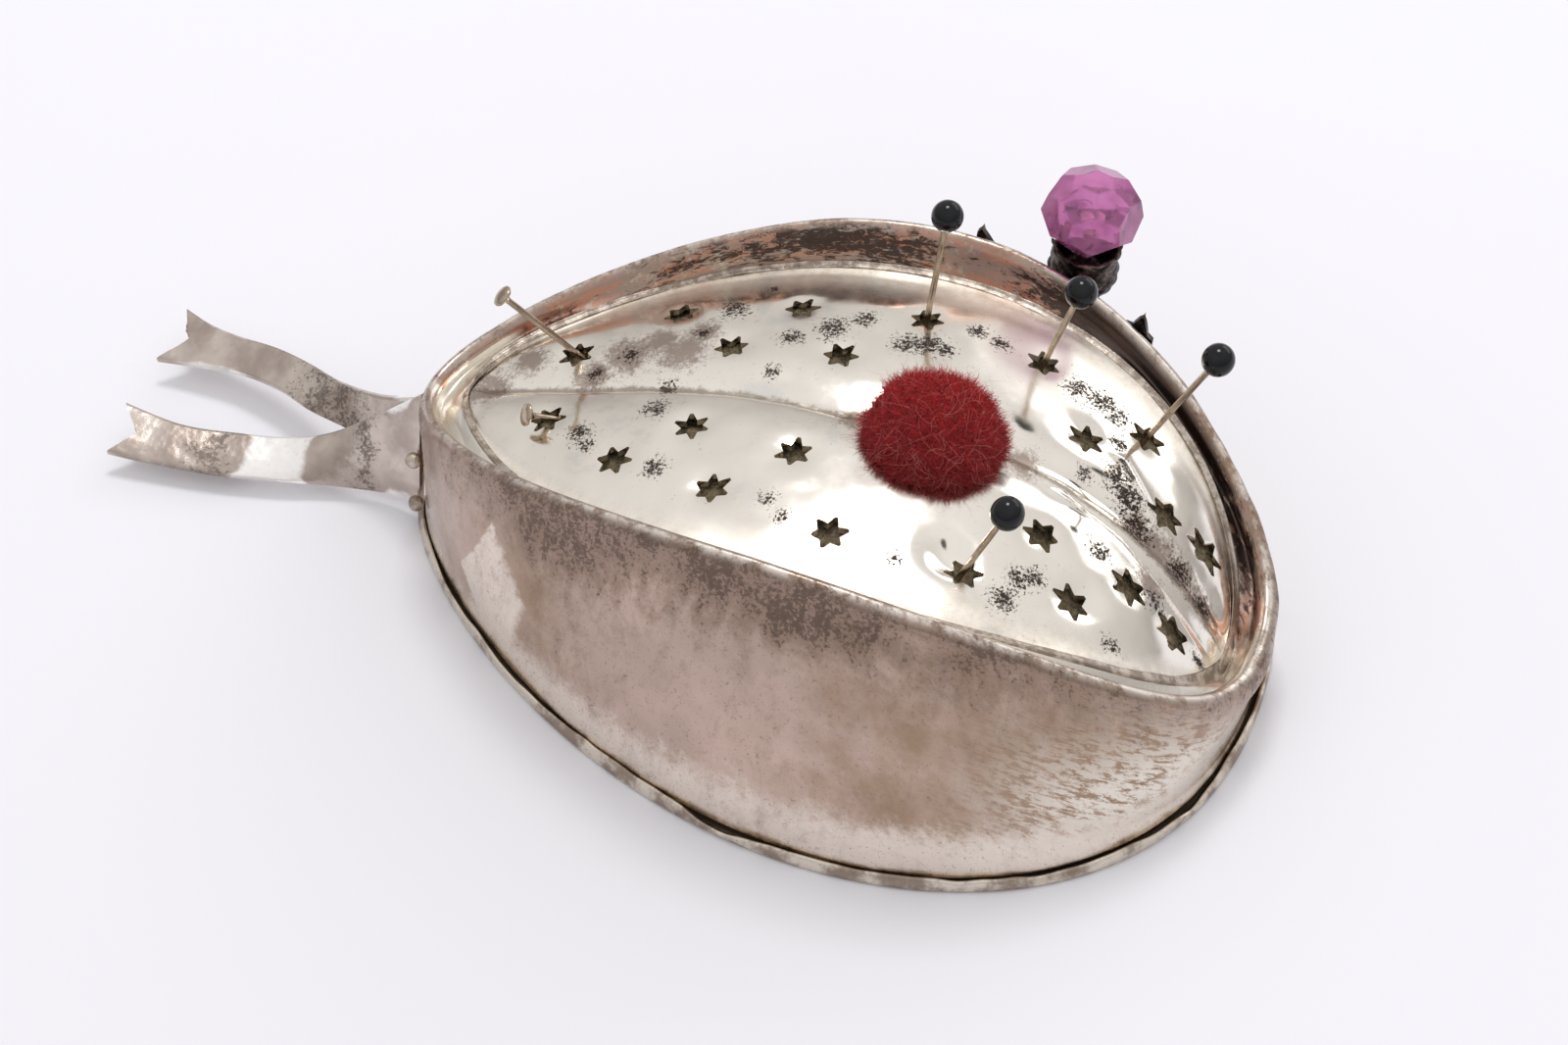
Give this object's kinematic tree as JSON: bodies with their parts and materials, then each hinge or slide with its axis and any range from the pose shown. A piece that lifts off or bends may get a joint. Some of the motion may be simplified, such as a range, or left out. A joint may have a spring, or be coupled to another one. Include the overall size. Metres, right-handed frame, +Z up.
{
  "type": "pincushion",
  "caption": "Cap-shaped metal pincushion: domed crown pierced with star holes over wool stuffing, felt ball, swallow-tailed ribbons, glass thistle badge, removable pins.",
  "frame": {"origin": "centre of the underside of the base plate, midway along its length", "axes": "+X to the front of the cap, away from the ribbons; +Y to the cap's left, the side with the thistle; +Z up"},
  "size_m": [0.1157, 0.0633, 0.041],
  "materials": {
    "tarnished_silver": "worn silver plate with pinkish-brown tarnish, satin",
    "bright_silver": "polished silver plate with speckled tarnish",
    "solder": "dull grey solder",
    "red_felt": "fuzzy wool felt",
    "wool_stuffing": "matted brown wool",
    "thread": "twisted thread",
    "pin_steel": "smooth, slightly yellowed steel",
    "black_glass": "opaque black glass, glossy",
    "amethyst_glass": "clear faceted amethyst-coloured glass",
    "dark_metal": "dark, almost black tarnish"
  },
  "bodies": {
    "cap": {"base_plate": "tarnished_silver", "side_wall": "tarnished_silver", "crown": "bright_silver", "crown_solder": "solder", "stuffing": "wool_stuffing", "toorie": "red_felt", "toorie_stitch": "thread", "toorie_washer": "dark_metal", "ribbon_near": "bright_silver", "ribbon_far": "bright_silver", "solder_blob_upper": "solder", "solder_blob_lower": "solder", "thistle_calyx": "dark_metal", "thistle_glass": "amethyst_glass", "glass_peg": "solder", "thistle_stem": "dark_metal", "leaf_rear": "dark_metal", "leaf_front": "dark_metal"},
    "glass_pin_1": {"glass_head_1": "black_glass", "pin_shaft_1": "pin_steel"},
    "glass_pin_2": {"glass_head_2": "black_glass", "pin_shaft_2": "pin_steel"},
    "glass_pin_3": {"glass_head_3": "black_glass", "pin_shaft_3": "pin_steel"},
    "glass_pin_4": {"glass_head_4": "black_glass", "pin_shaft_4": "pin_steel"},
    "plain_pin_1": {"flat_pin_1": "pin_steel"},
    "plain_pin_2": {"flat_pin_2": "pin_steel"}
  },
  "joints": [
    {"name": "glass_pin_1_pull", "type": "slide", "parent": "cap", "child": "glass_pin_1", "axis": [0.1203, 0, 0.9927], "range_m": [-0.0105, 0.0147]},
    {"name": "glass_pin_2_pull", "type": "slide", "parent": "cap", "child": "glass_pin_2", "axis": [0.3016, 0, 0.9534], "range_m": [-0.0075, 0.0177]},
    {"name": "glass_pin_3_pull", "type": "slide", "parent": "cap", "child": "glass_pin_3", "axis": [0.4503, 0, 0.8929], "range_m": [-0.0077, 0.0149]},
    {"name": "glass_pin_4_pull", "type": "slide", "parent": "cap", "child": "glass_pin_4", "axis": [0.3991, 0, 0.9169], "range_m": [-0.0065, 0.0187]},
    {"name": "plain_pin_1_pull", "type": "slide", "parent": "cap", "child": "plain_pin_1", "axis": [-0.6038, -0.2492, 0.7572], "range_m": [-0.0077, 0.0176]},
    {"name": "plain_pin_2_pull", "type": "slide", "parent": "cap", "child": "plain_pin_2", "axis": [-0.6718, -0.5598, 0.4852], "range_m": [-0.0001, 0.0253]}
  ]
}
